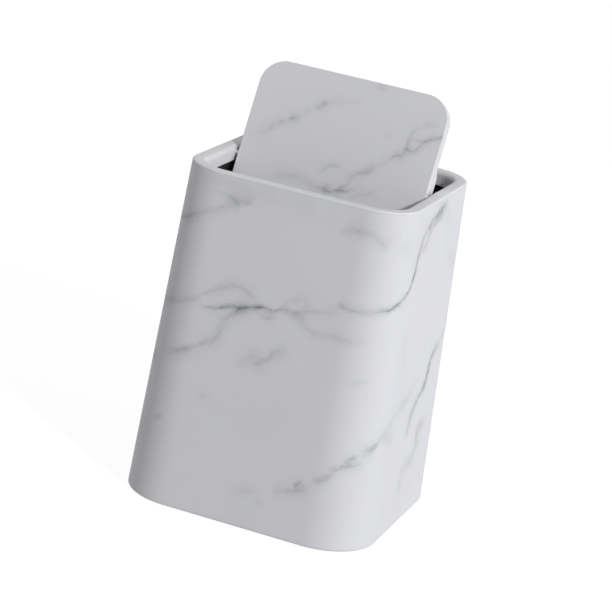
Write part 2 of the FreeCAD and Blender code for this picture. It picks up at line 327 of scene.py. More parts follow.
# One layer of veins. Field holds the signed distance from a vein in vein widths, its ink and the way along it
# in mm, and Haze its haze. Strong ink has a dark core. Round it lie a soft band of strands drawn out along
# the vein and a cloud of several widths. Clear is the share of white that is left.
def veinLayerGroup():
    floats = ["Haze", "Wander", "Breaks", "Drift"]
    inputs = [("Field", "NodeSocketVector")] + [(label, "NodeSocketFloat") for label in floats]
    group, entry, leaving = newGroup("VeinLayer", inputs, [("Clear", "NodeSocketFloat")])
    look = veinLook
    field = addNode(group, "ShaderNodeSeparateXYZ", {0: entry["Field"]}).outputs
    wandered = maths(group, "ADD", field["X"], entry["Wander"])
    across = maths(group, "ABSOLUTE", wandered)

    def strand(width, easing, value, breaks, breakEasing="LINEAR"):
        low, high, least = breaks
        whole = ramp(group, across, 0.0, width, 1.0, 0.0, easing)
        return maths(group, "MULTIPLY", whole, ramp(group, value, low, high, least, 1.0, breakEasing))

    def whiteLeft(mask, ink):
        return maths(group, "SUBTRACT", 1.0, maths(group, "MULTIPLY", mask, ink))

    fineAcross = maths(group, "MULTIPLY", wandered, look["streakFine"])
    streakPlace = addNode(group, "ShaderNodeCombineXYZ", {"X": field["Z"], "Y": fineAcross}).outputs[0]
    low, high, least = look["streaks"]
    streak = ramp(group, noise(group, streakPlace, *look["streakNoise"]), low, high, least, 1.0)
    core = strand(look["coreWidth"], "SMOOTHSTEP", entry["Breaks"], look["coreBreaks"])
    band = strand(look["bandWidth"], "SMOOTHERSTEP", entry["Breaks"], look["bandBreaks"])
    band = maths(group, "MULTIPLY", band, streak)
    cloud = strand(look["cloudWidth"], "SMOOTHERSTEP", entry["Drift"], look["cloudBreaks"], "SMOOTHSTEP")
    coreInk = maths(group, "MULTIPLY", maths(group, "POWER", field["Y"], look["corePower"]), look["coreInk"])
    bandInk = maths(group, "MULTIPLY", field["Y"], look["bandInk"])
    clear = maths(group, "MULTIPLY", whiteLeft(core, coreInk), whiteLeft(band, bandInk))
    clear = maths(group, "MULTIPLY", clear, whiteLeft(cloud, entry["Haze"]))
    group.links.new(clear, leaving["Clear"])
    return group


mouldedSkin = mouldedSkinGroup()
veinLayer = veinLayerGroup()


# Moulded skin over a colour, in the shader. The bump follows the given height, or else the skin's own grain.
def coverWithSkin(tree, shader, place, colour, look, height=None):
    inputs = {"Place": place, "Colour": colour, "Grain Scale": look["grain"], "Tint Change": look["tint"]}
    gloss = {"Roughness Low": look["low"], "Roughness High": look["high"]}
    skin = placeGroup(tree, mouldedSkin, {**inputs, **gloss})
    followed = skin["Grain"] if height is None else height
    bumpInputs = {"Strength": look["bump"], "Distance": skinLook["depth"], "Height": followed}
    bump = addNode(tree, "ShaderNodeBump", bumpInputs)
    tree.links.new(skin["Colour"], shader.inputs["Base Color"])
    tree.links.new(skin["Roughness"], shader.inputs["Roughness"])
    tree.links.new(bump.outputs[0], shader.inputs["Normal"])
    shader.inputs["Specular IOR Level"].default_value = look["shine"]


marble = {
    "white": (0.785, 0.79, 0.828, 1.0),
    "vein": (0.085, 0.09, 0.105, 1.0),
    "edge": (0.80, 0.80, 0.81, 1.0),  # bare plastic where the print ends
    "layers": 4,
    "wander": 2.4,  # vein widths by which the noise moves a line
    "wideShare": 0.65,  # of that wander, the rest is tight
    "fade": 16.0,  # mm from a vein to where its haze ends
    "mottle": 0.02,
    "mottleRange": (0.42, 0.75),
}
marbleNoises = {  # scale, detail and roughness
    "wide": (80.0, 3.0, 0.55),
    "tight": (420.0, 4.0, 0.68),
    "drift": (55.0, 4.0, 0.6),
    "breaks": (240.0, 4.0, 0.62),
    "mottle": (16.0, 3.0, 0.5),
}
marbleSkin = {"grain": 900.0, "tint": 0.012, "low": 0.46, "high": 0.56, "bump": 0.05, "shine": 0.06}


# White with a slight mottle, from which each layer of veins takes its share. Film is 0 where the print ends.
def marblePrint():
    finish, tree, shader, place = newFinish("marblePrint")
    noises = {name: noise(tree, place, *values) for name, values in marbleNoises.items()}
    swing = blend(tree, noises["wide"], noises["tight"], marble["wideShare"])
    wander = maths(tree, "MULTIPLY", maths(tree, "SUBTRACT", swing, 0.5), 2 * marble["wander"])
    clear = ramp(tree, noises["mottle"], *marble["mottleRange"], 1.0, 1.0 - marble["mottle"], "SMOOTHSTEP")
    shared = {"Wander": wander, "Breaks": noises["breaks"], "Drift": noises["drift"]}
    for layer in range(marble["layers"]):
        field = addNode(tree, "ShaderNodeAttribute", {}, attribute_name="veins%d" % layer).outputs
        veins = placeGroup(tree, veinLayer, {"Field": field["Vector"], "Haze": field["Alpha"], **shared})
        clear = maths(tree, "MULTIPLY", clear, veins["Clear"])
    printed = mixColour(tree, clear, marble["vein"], marble["white"])
    film = addNode(tree, "ShaderNodeAttribute", {}, attribute_name="film").outputs["Fac"]
    coverWithSkin(tree, shader, place, mixColour(tree, film, marble["edge"], printed), marbleSkin)
    return finish


mouldings = {
    "whitePlastic": {
        "colour": (0.79, 0.795, 0.812, 1), "grain": 1300.0, "tint": 0.02,
        "low": 0.48, "high": 0.58, "bump": 0.08, "shine": 0.16},
    "greyPlastic": {
        "colour": (0.42, 0.42, 0.43, 1), "grain": 1000.0, "tint": 0.06,
        "low": 0.48, "high": 0.62, "bump": 0.3, "shine": 0.4},
    "blackPlastic": {
        "colour": (0.012, 0.012, 0.013, 1), "grain": 1100.0, "tint": 0.3,
        "low": 0.5, "high": 0.66, "bump": 0.3, "shine": 0.35},
    "footRubber": {
        "colour": (0.05, 0.05, 0.051, 1), "grain": 1600.0, "tint": 0.25,
        "low": 0.7, "high": 0.88, "bump": 0.4, "shine": 0.3},
}


def mouldedFinish(name):
    finish, tree, shader, place = newFinish(name)
    coverWithSkin(tree, shader, place, mouldings[name]["colour"], mouldings[name])
    return finish


platedSteel = {
    "colour": (0.56, 0.565, 0.58, 1), "grain": 700.0, "tint": 0.25,
    "low": 0.28, "high": 0.42, "bump": 0.25, "shine": 0.5,
    "drawn": (12.0, 900.0, 900.0),
    "streak": (1.0, 3.0, 0.6),
}


# Zinc-plated flat bar: a cloudy plating over streaks drawn along X
def platedFinish():
    finish, tree, shader, place = newFinish("platedSteel")
    stretched = addNode(tree, "ShaderNodeMapping", {"Vector": place, "Scale": platedSteel["drawn"]})
    streak = noise(tree, stretched.outputs[0], *platedSteel["streak"])
    coverWithSkin(tree, shader, place, platedSteel["colour"], platedSteel, streak)
    shader.inputs["Metallic"].default_value = 1.0
    return finish


marbleFinish = marblePrint()
finishes = {name: mouldedFinish(name) for name in mouldings}
finishes["platedSteel"] = platedFinish()
print("finishes made")

# Veins of the wall as (girth, height, ink): girth is counted round the wall from the middle of the front,
# positive to the right. Each stroke has its layer, its half width in mm and its haze. Strokes of one layer
# stay apart.
wallVeins = {
    "mainVein": (0, 1.1, 0.25, [
        (-60, 170, 0), (-50, 172, 0.4), (-41, 174, 0.55), (-36, 176, 0.7), (-31, 178, 0.8), (-24, 178, 0.75),
        (-18, 180, 0.7), (-9, 182.5, 0.9), (-5, 183, 0.8), (3, 182, 0.42), (10, 186, 0.36), (24, 186.5, 0.3),
        (35, 190, 0.22), (47, 193, 0.2), (58, 195, 0)]),
    "arch": (1, 1.4, 0.3, [
        (-116, 158, 0), (-98, 165, 0.26), (-79, 169, 0.24), (-66, 174, 0.2), (-52, 185, 0.2),
        (-43, 190, 0.22), (-34, 194, 0.2), (-25, 193.5, 0.2), (-19, 191, 0.2), (-11, 186, 0)]),
    "hook": (2, 1.7, 0.25, [
        (-18, 180, 0), (-24, 177, 0.5), (-29, 172, 0.32), (-35, 167, 0.22), (-37, 159, 0.18),
        (-39, 151, 0.22), (-48, 144, 0.34), (-57, 138, 0.38), (-67, 132, 0.34),
        (-77, 127, 0.2), (-90, 122, 0)]),
    "mainUnder": (3, 0.9, 0.15, [(-9, 177, 0), (-4, 175.5, 0.22), (1, 176, 0.3), (6, 180, 0)]),
    "mainWisp": (2, 1.4, 0.25, [
        (9, 187, 0), (13, 192, 0.14), (20, 196, 0.14), (25, 197, 0.12), (31, 195, 0.14), (40, 194, 0)]),
    "mainLow": (3, 1.4, 0.3, [(15, 183, 0), (24, 185, 0.2), (32, 184, 0)]),
    "rise": (0, 1.4, 0.2, [
        (52, 202.5, 0), (57, 200.5, 0.3), (64, 199, 0.32), (73, 198.7, 0.28), (80, 199.2, 0.26),
        (88, 200.8, 0.28), (97, 202.3, 0.6), (105, 205, 0.95), (111, 208, 0.65), (119, 214, 0.6),
        (127, 222, 0.8), (132, 229, 0.95), (134, 238, 0.7), (140, 250, 0.3), (146, 257, 0)]),
    "riseTop": (3, 2.3, 0.25, [
        (132, 236, 0), (139, 250, 0.3), (147, 258, 0.45), (162, 265, 0.45), (176, 268, 0.65), (188, 271, 0.5),
        (198, 274, 0.15), (206, 278, 0)]),
    "riseTwin": (1, 2.2, 0.2, [
        (140, 240, 0), (150, 247, 0.3), (162, 257, 0.3), (175, 263, 0.35), (188, 266, 0.3), (198, 268, 0)]),
    "rimTouch": (2, 3.4, 0.3, [
        (192, 270, 0), (206, 262, 0.04), (222, 250, 0.02), (240, 236, 0.02), (256, 228, 0)]),
    "sideCloud": (3, 3.0, 0.3, [(206, 238, 0), (220, 230, 0.05), (236, 219, 0.07), (250, 204, 0)]),
    "brow": (2, 1.3, 0.3, [
        (43, 259, 0), (52, 260.5, 0.15), (60, 261.5, 0.17), (68, 262, 0.17), (77, 259, 0.1), (84, 254, 0.17),
        (91, 252, 0)]),
    "browCloud": (0, 5.0, 0.35, [
        (44, 270, 0), (66, 268, 0.03), (92, 260, 0.035), (110, 252, 0.03), (122, 246, 0)]),
    "topCloud": (3, 5.0, 0.35, [
        (-84, 275, 0), (-58, 273, 0.06), (-30, 271, 0.04), (4, 271, 0.03), (24, 272, 0)]),
    "underVein": (1, 1.2, 0.25, [
        (22, 188, 0), (27, 181, 0.08), (35, 175, 0.12), (44, 174, 0.12), (52, 175, 0.14), (61, 174, 0.12),
        (69, 174, 0.12), (86, 174, 0)]),
    "shortUpper": (1, 2.2, 0.2, [
        (-22, 131, 0), (-15, 136, 0.2), (-10, 141, 0.2), (-4, 143, 0.14), (1, 145, 0)]),
    "shortLower": (3, 2.1, 0.25, [
        (-7, 136, 0), (-1, 139, 0.34), (6, 145, 0.34), (11, 150, 0.24), (21, 156, 0)]),
    "cornerTick": (0, 1.3, 0.3, [
        (-66, 268, 0), (-58, 265, 0.12), (-48, 263, 0.26), (-42, 260, 0.44), (-38, 260, 0.4),
        (-34, 262, 0.32), (-28, 265, 0)]),
    "cornerTrail": (1, 1.4, 0.3, [
        (-38, 260, 0), (-48, 256, 0.12), (-56, 252, 0.14), (-65, 248, 0.16), (-79, 241, 0.26),
        (-90, 237, 0.42), (-104, 233, 0.45), (-124, 228, 0.42), (-146, 221, 0.4), (-168, 224, 0.3),
        (-190, 212, 0.45), (-214, 206, 0.35), (-236, 194, 0.3), (-262, 190, 0.2), (-286, 181, 0)]),
    "spotLeft": (0, 1.3, 0.1, [(-48, 97, 0), (-42, 100, 0.14), (-36, 103, 0)]),
    "spotCorner": (0, 1.2, 0.15, [(-83, 69, 0), (-80, 70, 0.3), (-77, 72, 0.3), (-73, 74, 0)]),
    "cornerDash": (0, 1.3, 0.1, [(73, 141, 0), (80, 142, 0.14), (87, 144, 0.1), (93, 145, 0)]),
    "footMark": (0, 1.6, 0.2, [(-6, 26, 0), (0, 30, 0.1), (6, 33, 0.11), (12, 34, 0.1), (20, 37, 0)]),
    "footDot": (2, 1.6, 0.1, [(14, 24, 0), (19, 26, 0.12), (24, 28, 0)]),
    "lowDash": (0, 1.6, 0.25, [(29, 39, 0), (36, 41, 0.2), (46, 44, 0.26), (54, 47, 0.24), (60, 49, 0)]),
    "lowSpot": (1, 1.1, 0.3, [(45, 48, 0), (47, 49, 0.4), (49, 51, 0.75), (51, 54, 0)]),
    "lowStep": (2, 1.2, 0.3, [(59, 55, 0), (64, 57, 0.32), (69, 60, 0.3), (72, 65, 0.2), (76, 69, 0)]),
    "lowShelf": (1, 1.4, 0.3, [(68, 68, 0), (76, 70, 0.4), (83, 73, 0.4), (91, 74, 0.3), (98, 76, 0)]),
    "lowTip": (3, 1.1, 0.25, [(80, 75, 0), (84, 78, 0.4), (88, 80, 0.45), (91, 83, 0)]),
    "lowRise": (2, 2.2, 0.3, [
        (92, 82, 0), (98, 85, 0.34), (103, 87, 0.48), (107, 91, 0.34), (118, 100, 0.14), (129, 108, 0.12),
        (152, 113, 0.1), (171, 119, 0.08), (190, 128, 0)]),
    "sideSmudge": (1, 3.4, 0.35, [(133, 180, 0), (131, 168, 0.05), (134, 156, 0.05), (135, 142, 0)]),
    "lowSpur": (0, 2.4, 0.3, [(112, 98, 0), (120, 94, 0.14), (128, 90, 0.16), (137, 83, 0)]),
    "sideVein": (0, 2.0, 0.25, [
        (177, 76, 0), (179, 83, 0.26), (181, 94, 0.32), (195, 106, 0.45), (208, 113, 0.6), (214, 123, 0.95),
        (219, 137, 0.75), (227, 142, 0.45), (237, 147, 0.25), (252, 156, 0)]),
    "sideBack": (0, 1.3, 0.25, [
        (238, 148, 0), (250, 157, 0.3), (266, 170, 0.45), (288, 176, 0.35), (310, 189, 0.5), (330, 205, 0.6),
        (348, 209, 0.4), (366, 222, 0.5), (384, 236, 0.35), (402, 243, 0.2), (420, 258, 0)]),
    "sideLow": (1, 2.8, 0.35, [
        (236, 88, 0), (226, 82, 0.08), (217, 78, 0.26), (209, 73, 0.36), (211, 66, 0.3), (212, 61, 0.28),
        (208, 56, 0.24), (198, 52, 0.18), (182, 47, 0.12), (178, 37, 0.12), (174, 24, 0)]),
    "backBranch": (1, 1.4, 0.35, [
        (329, 204, 0), (338, 192, 0.3), (350, 180, 0.35), (358, 163, 0.2), (372, 152, 0.25), (388, 149, 0.15),
        (406, 139, 0)]),
    "backLow": (2, 1.3, 0.4, [
        (292, 50, 0), (312, 60, 0.25), (330, 63, 0.4), (346, 74, 0.3), (362, 79, 0.2), (380, 92, 0.32),
        (398, 97, 0.25), (420, 112, 0.12), (444, 117, 0)]),
    "backShort": (0, 1.4, 0.3, [(298, 111, 0), (310, 118, 0.3), (318, 117, 0.28), (330, 125, 0)]),
    "leftLong": (0, 1.3, 0.4, [
        (-94, 119, 0), (-112, 110, 0.3), (-130, 107, 0.45), (-150, 96, 0.35), (-172, 90, 0.5),
        (-196, 76, 0.35), (-220, 70, 0.25), (-244, 58, 0.3), (-268, 55, 0.16), (-294, 46, 0)]),
    "leftBranch": (2, 1.4, 0.3, [
        (-167, 223, 0), (-180, 236, 0.25), (-192, 244, 0.3), (-206, 257, 0.15), (-218, 268, 0)]),
    "leftMid": (2, 1.5, 0.3, [
        (-138, 159, 0), (-156, 150, 0.2), (-174, 149, 0.3), (-186, 140, 0.2), (-206, 138, 0)]),
    "rearCorner": (1, 1.5, 0.3, [
        (-248, 131, 0), (-262, 122, 0.2), (-276, 121, 0.25), (-290, 112, 0.1), (-308, 110, 0)]),
}

# Veins of the lid as (across, from the pivot line towards its rear edge, ink)
lidVeins = {
    "slant": (0, 1.7, 0.2, [
        (-82, 13, 0), (-72, 18, 0.06), (-65, 22, 0.1), (-60, 27, 0.24), (-56.5, 30, 0.12), (-52, 33, 0.28),
        (-48.5, 35, 0.1), (-45, 37.5, 0.3), (-41, 40.5, 0.26), (-37.5, 43.5, 0.08), (-35, 47, 0.28),
        (-31, 49, 0.08), (-26, 51.5, 0.22), (-22, 55, 0.28), (-17, 57.5, 0.1), (-3, 61, 0.08), (8, 66, 0)]),
    "slantFirst": (2, 1.0, 0.1, [(-48, 35, 0), (-46, 36.5, 0.3), (-44, 38, 0.3), (-42, 40.5, 0)]),
    "slantSecond": (2, 0.9, 0.1, [(-29, 49, 0), (-26.5, 50, 0.28), (-24.5, 51.5, 0)]),
    "slantThird": (3, 0.9, 0.1, [(-25, 54, 0), (-21, 56, 0.16), (-18, 57, 0)]),
    "smallCurl": (1, 1.1, 0.15, [(-11, -1, 0), (-6, 4.5, 0.22), (-1, 7.6, 0.28), (4, 7.8, 0.2), (9, 11, 0)]),
    "lowVein": (0, 1.2, 0.25, [
        (-50, -13, 0), (-36, -9, 0.12), (-27, -8.7, 0.12), (-20, -9.5, 0.1), (-13, -12.5, 0.14),
        (-4, -13.2, 0.36), (2, -13.8, 0.6), (9, -11.8, 0.6), (15, -10.5, 0.5), (21, -7.5, 0.2), (30, -3, 0)]),
    "lowCross": (2, 1.1, 0.2, [(8, -13, 0), (10, -11, 0.4), (12, -7.8, 0.4), (16, -5, 0.26), (18, 1, 0)]),
    "lowStrand": (1, 1.1, 0.2, [(-7, -15, 0), (-4, -13, 0.2), (-1.5, -10.7, 0.2), (3, -8.5, 0)]),
    "footLine": (1, 1.5, 0.2, [(18, -18, 0), (27, -11, 0.16), (34, -8, 0.16), (42, -4, 0)]),
    "longVein": (3, 1.3, 0.3, [
        (13, -4, 0), (18, 3, 0.16), (25, 7.5, 0.26), (31, 11, 0.3), (37, 17, 0.12), (43, 22.5, 0.18),
        (48, 26.8, 0.4), (51.5, 28, 0.34), (54, 32, 0.36), (55, 37, 0.28), (55, 42, 0.26), (55.5, 46.5, 0.26),
        (58, 51, 0.24), (64, 55.5, 0.16), (70, 58, 0.14), (76, 58, 0)]),
    "loopStrand": (2, 1.0, 0.2, [(54, 40, 0), (58, 44, 0.24), (65, 43, 0.24), (70, 46, 0.2), (75, 48, 0)]),
    "edgeBranch": (0, 0.85, 0.2, [
        (52, 34, 0), (56, 34.8, 0.3), (60.5, 34.5, 0.3), (64, 37.5, 0.26), (66, 41, 0.22), (69, 45, 0.32),
        (74, 47.5, 0.42), (80, 50.5, 0.4), (86, 53, 0.3)]),
    "topTouch": (1, 1.8, 0.1, [(14, 77, 0), (20, 80, 0.2), (27, 80, 0)]),
    "fleck": (2, 1.6, 0.1, [(33, 41, 0), (38, 42, 0.08), (43, 43, 0)]),
    "lowLeft": (3, 1.5, 0.3, [
        (-60, -45, 0), (-46, -38, 0.2), (-34, -36, 0.3), (-20, -28, 0.2), (-8, -27, 0)]),
    "lowRight": (2, 1.4, 0.3, [
        (4, -66, 0), (18, -58, 0.25), (30, -56, 0.35), (44, -44, 0.3), (58, -40, 0.2), (76, -28, 0)]),
}


strokeSteps = 8  # in each span of a stroke


# Smooth curve through a stroke's points: a cubic in each span. At each point it runs parallel to the line
# between the points before and after.
def strokeCurve(points):
    knots = np.array(points, float)
    padded = np.vstack([2 * knots[0] - knots[1], knots, 2 * knots[-1] - knots[-2]])
    p0, p1, p2, p3 = (padded[start:len(padded) - 3 + start, None] for start in range(4))
    t = (np.arange(strokeSteps) / strokeSteps)[None, :, None]
    cubic = 2 * p1 + (p2 - p0) * t
    cubic = cubic + (2 * p0 - 5 * p1 + 4 * p2 - p3) * t**2 + (3 * p1 - p0 - 3 * p2 + p3) * t**3
    curve = np.vstack([(cubic / 2).reshape(-1, 3), knots[-1:]])
    curve[:, 2] = np.clip(curve[:, 2], 0, 1)
    return curve


# For each layer the signed distance to the nearest stroke in vein widths, its ink, the way along it and its
# haze, at every place (along, height). Ink and haze fade with the distance. Girth, if any, is the length
# after which the wall repeats.
def veinFields(places, veins, girth=None):
    fields = np.zeros((marble["layers"], len(places), 4))
    nearest = np.full((marble["layers"], len(places)), np.inf)
    each = np.arange(len(places))
    for layer, width, haze, points in veins.values():
        curve = strokeCurve(points)
        spot = places.copy()
        if girth:
            middle = curve[:, 0].mean()
            spot[:, 0] = (spot[:, 0] - middle + girth / 2) % girth - girth / 2 + middle
        start = curve[:-1, :2]
        run = curve[1:, :2] - start
        length = np.linalg.norm(run, axis=1)
        offset = spot[:, None] - start[None]
        share = np.clip((offset * run).sum(2) / length**2, 0, 1)
        away = offset - share[..., None] * run
        distance = np.linalg.norm(away, axis=2)
        pick = distance.argmin(1)
        near = distance[each, pick]
        part = share[each, pick]
        side = np.sign(run[pick, 0] * away[each, pick, 1] - run[pick, 1] * away[each, pick, 0])
        ink = curve[pick, 2] + (curve[pick + 1, 2] - curve[pick, 2]) * part
        along = (np.cumsum(length) - length)[pick] + length[pick] * part
        strength = np.clip(1 - near / marble["fade"], 0, 1)
        closer = near < nearest[layer]
        nearest[layer][closer] = near[closer]
        found = np.stack([side * near / width, ink * strength, along, haze * np.sqrt(ink) * strength], 1)
        fields[layer][closer] = found[closer]
    return fields


# The layers' fields and the film's edge as attributes of the mesh, which the print reads
def setVeins(made, fields, film):
    for layer, field in enumerate(fields):
        attribute = made.data.attributes.new("veins%d" % layer, "FLOAT_COLOR", "POINT")
        attribute.data.foreach_set("color", field.astype(np.float32).ravel())
    attribute = made.data.attributes.new("film", "FLOAT", "POINT")
    attribute.data.foreach_set("value", film.astype(np.float32))


shellSizes = {
    "sideSteps": 48,
    "cornerSteps": 26,
    "step": 2.5,
    "topRound": 0.05,
    "lowRound": 1.5,
    "edgeRound": 0.3,
    "ledge": 266.5,  # step inside the mouth that carries the bucket
    "ledgeReach": 29.1,
    "ledgeEdge": 2.0,
}


# Tapered wall with the ledge inside its mouth: one closed section carried round the square
def outerShell():
    s = shellSizes
    top = binPlan["shellTop"]
    low = binPlan["lowEdge"]
    wall = binPlan["wall"]
    slopeTop = s["ledge"] - s["ledgeEdge"]
    slopeLow = slopeTop - (wallReach(s["ledge"]) - wall - s["ledgeReach"])
    section = [
        (wallReach(low), low, s["lowRound"]),
        (wallReach(top), top, s["topRound"]),
        (wallReach(top) - wall, top, s["edgeRound"]),
        (wallReach(s["ledge"]) - wall, s["ledge"], s["edgeRound"]),
        (s["ledgeReach"], s["ledge"], s["edgeRound"]),
        (s["ledgeReach"], slopeTop, s["edgeRound"]),
        (wallReach(slopeLow) - wall, slopeLow, s["edgeRound"]),
        (wallReach(low) - wall, low, s["edgeRound"]),
    ]
    path = pathAround(axis, axis, s["sideSteps"], s["cornerSteps"])
    profile = roundedProfile(section, s["step"], closed=True)
    made = makeObject("marbleShell", sweep(path, profile, "joined"))
    line = path[0] + path[1] * binPlan["girthRadius"]
    steps = np.linalg.norm(np.roll(line, -1, 0) - line, axis=1)
    along = np.cumsum(steps) - steps - axis
    places = np.stack(np.meshgrid(along, profile[:, 1], indexing="ij"), 2).reshape(-1, 2)
    outside = profile[:, 0] > wallReach(profile[:, 1]) - wall / 2
    film = np.tile(outside.astype(float), len(along))
    setVeins(made, veinFields(places, wallVeins, steps.sum()), film)
    finishPiece(made, "outer_shell", "bin_body", marbleFinish)


lidSizes = {
    "axisY": 61.4,
    "reach": 21.45,  # corner radius
    "top": 279.0,
    "thick": 12.8,
    "face": 1.2,
    "faceRound": 0.6,
    "faceArc": 0.588,
    "lowRound": 0.15,
    "lap": 1.0,
    "edgeStep": 0.5,
    "rows": 140,
    "cols": 120,
}


# Printed sheet on the lid: a grid whose rows are as wide as the rounded rectangle is there, and a rounded
# edge carried round the grid's border
def lidPanel():
    s = lidSizes
    corner = s["reach"] - s["faceRound"]
    across = np.sin(np.linspace(-1, 1, s["rows"]) * math.pi / 2) * (s["axisY"] + corner)
    beyond = np.clip(np.abs(across) - s["axisY"], 0, corner)
    width = axis + np.sqrt(corner**2 - beyond**2)
    x = np.linspace(-1, 1, s["cols"])[None] * width[:, None]
    y = np.broadcast_to(across[:, None], x.shape)
    top = np.stack([x, y, np.full(x.shape, s["top"])], 2).reshape(-1, 3)
    index = np.arange(x.size).reshape(x.shape)
    corners = [index[:-1, :-1], index[:-1, 1:], index[1:, 1:], index[1:, :-1]]
    faces = np.stack(corners, 2).reshape(-1, 4).tolist()
    border = np.concatenate([index[0, :-1], index[:-1, -1], index[-1, :0:-1], index[:0:-1, 0]])
    rim = top[border, :2]
    lean = np.sign(rim[:, 1]) * np.clip(np.abs(rim[:, 1]) - s["axisY"], 0, corner) / corner
    normal = np.stack([np.sign(rim[:, 0]) * np.sqrt(1 - lean**2), lean], 1)
    low = s["top"] - s["face"]
    section = [
        (0, s["top"], 0),
        (s["faceRound"], s["top"], s["faceArc"]),
        (s["faceRound"], low, s["lowRound"]),
        (-s["lap"], low, 0),
    ]
    edge, edgeFaces = sweep((rim, normal), roundedProfile(section, s["edgeStep"]), "capped")
    renumber = np.arange(len(edge)).reshape(len(rim), -1) + len(top)
    renumber[:, 0] = border
    renumber = renumber.ravel()
    edgeFaces = [renumber[face].tolist() for face in edgeFaces]
    del edgeFaces[-2]  # the printed grid closes this end
    points = np.vstack([top, edge])
    made = makeObject("lidPanel", openLid((points, faces + edgeFaces)))
    film = (points[:, 2] > s["top"] - s["faceRound"] / 2).astype(float)
    setVeins(made, veinFields(points[:, :2], lidVeins), film)
    finishPiece(made, "lid_face", "lid", marbleFinish)


traySizes = {
    "wall": 2.4,
    "ceiling": 1.8,
    "round": 1.6,
    "rib": 1.6,
    "ribPitch": 28.0,
    "ribLow": 272.0,
    "bossHalf": 3.6,
    "bossLength": 14.0,
    "clipPitch": 45.0,
    "clipThick": 3.0,
    "clipPost": 1.8,
    "clipGap": 0.15,
    "clipHook": 0.8,
    "clipUnder": 0.1,
    "earHalf": 20.0,  # deeper part of the side walls, from the pivot
    "earSlope": 6.0,
    "earDepth": 5.2,
    "earRound": 4.0,
    "earInset": 0.05,
    "edge": 0.3,
    "cap": 3.0,  # width of the flat strip before the swept wall's caps
    "ceilingRound": 0.8,
    "lipRound": 0.4,
    "topRound": 0.15,
    "fuse": 0.5,  # how far ribs and bosses reach into the walls
    "sideSteps": 20,
    "cornerSteps": 14,
    "step": 6,
}
barSizes = {
    "length": 130.0,
    "width": 12.0,
    "thick": 4.0,
    "lift": 1.2,
    "corner": 2.4,
    "edge": 0.5,
    "cap": 1.2,
    "sideSteps": 12,
    "cornerSteps": 6,
    "step": 3,
}


# Deeper part of a side wall under the pivot: its outline in Y and Z carried through the wall along X
def trayEar(x0, x1, low):
    s = traySizes
    half = s["earHalf"]
    high = low + s["round"]
    outline = [(-half, low - s["earDepth"], s["earRound"]), (half, low - s["earDepth"], s["earRound"])]
    outline += [(half + s["earSlope"], high, 0), (-half - s["earSlope"], high, 0)]
    line = roundedProfile(outline, s["step"], closed=True)
    return alongX(sweep((line, np.zeros(line.shape)), np.array([(0, x0), (0, x1)]), "capped"))


# Lid's underside: a rounded pan with ribs both ways, bosses round the pins and clips for the counterweight
def lidTray():
    s = traySizes
    lid = lidSizes
    top = lid["top"] - lid["face"]
    low = lid["top"] - lid["thick"]
    ceiling = top - s["ceiling"]
    inner = lid["reach"] - s["wall"]
    section = [
        (inner - s["cap"], ceiling, 0),
        (inner, ceiling, s["ceilingRound"]),
        (inner, low, s["lipRound"]),
        (lid["reach"], low, s["round"]),
        (lid["reach"], top, s["topRound"]),
        (lid["reach"] - s["cap"], top, 0),
    ]
    path = pathAround(axis, lid["axisY"], s["sideSteps"], s["cornerSteps"])
    parts = [sweep(path, roundedProfile(section, s["step"]), "capped")]
    halfX = axis + inner + s["fuse"]
    halfY = lid["axisY"] + inner + s["fuse"]
    over = ceiling + s["fuse"]
    for step in (-2, -1, 1, 2):
        near = step * s["ribPitch"] - s["rib"] / 2
        far = step * s["ribPitch"] + s["rib"] / 2
        parts.append(block((near, -halfY, s["ribLow"]), (far, halfY, over), s["edge"]))
        parts.append(block((-halfX, near, s["ribLow"]), (halfX, far, over), s["edge"]))
    for side in (-1, 1):
        ends = sorted((side * halfX, side * (axis + lid["reach"] - s["bossLength"])))
        bossLow = pivotHeight - s["bossHalf"]
        parts.append(block((ends[0], -s["bossHalf"], bossLow), (ends[1], s["bossHalf"], over), s["edge"]))
        ends = sorted((side * (axis + inner + s["earInset"]), side * (axis + lid["reach"])))
        parts.append(trayEar(ends[0], ends[1], low))
    barLow = low + barSizes["lift"]
    barHigh = barLow + barSizes["thick"]
    barSide = barSizes["width"] / 2
    postIn = barSide + s["clipGap"]
    postOut = postIn + s["clipPost"]
    hookHigh = barLow - s["clipUnder"]
    hookLow = hookHigh - s["clipHook"]
    for middle in (-s["clipPitch"], 0, s["clipPitch"]):
        x0 = middle - s["clipThick"] / 2
        x1 = middle + s["clipThick"] / 2
        parts.append(block((x0, -postOut, barHigh), (x1, postOut, over), s["edge"]))
        for side in (-1, 1):
            post = sorted((side * postIn, side * postOut))
            hook = sorted((side * (barSide - s["clipHook"]), side * postOut))
            parts.append(block((x0, post[0], hookLow), (x1, post[1], barHigh + s["clipPost"]), s["edge"]))
            parts.append(block((x0, hook[0], hookLow), (x1, hook[1], hookHigh), s["edge"]))
    made = makeObject("lidTray", openLid(joined(parts)))
    finishPiece(made, "lid_tray", "lid", finishes["whitePlastic"])


# Flat bar: a rounded rectangle swept by an upright profile
def counterweight():
    s = barSizes
    low = lidSizes["top"] - lidSizes["thick"] + s["lift"]
    high = low + s["thick"]
    cap = s["corner"] - s["cap"]
    section = [
        (cap, low, 0),
        (s["corner"], low, s["edge"]),
        (s["corner"], high, s["edge"]),
        (cap, high, 0),
    ]
    halfX = s["length"] / 2 - s["corner"]
    halfY = s["width"] / 2 - s["corner"]
    path = pathAround(halfX, halfY, s["sideSteps"], s["cornerSteps"])
    made = makeObject("weightBar", openLid(sweep(path, roundedProfile(section, s["step"]), "capped")))
    finishPiece(made, "counterweight_bar", "lid", finishes["platedSteel"])


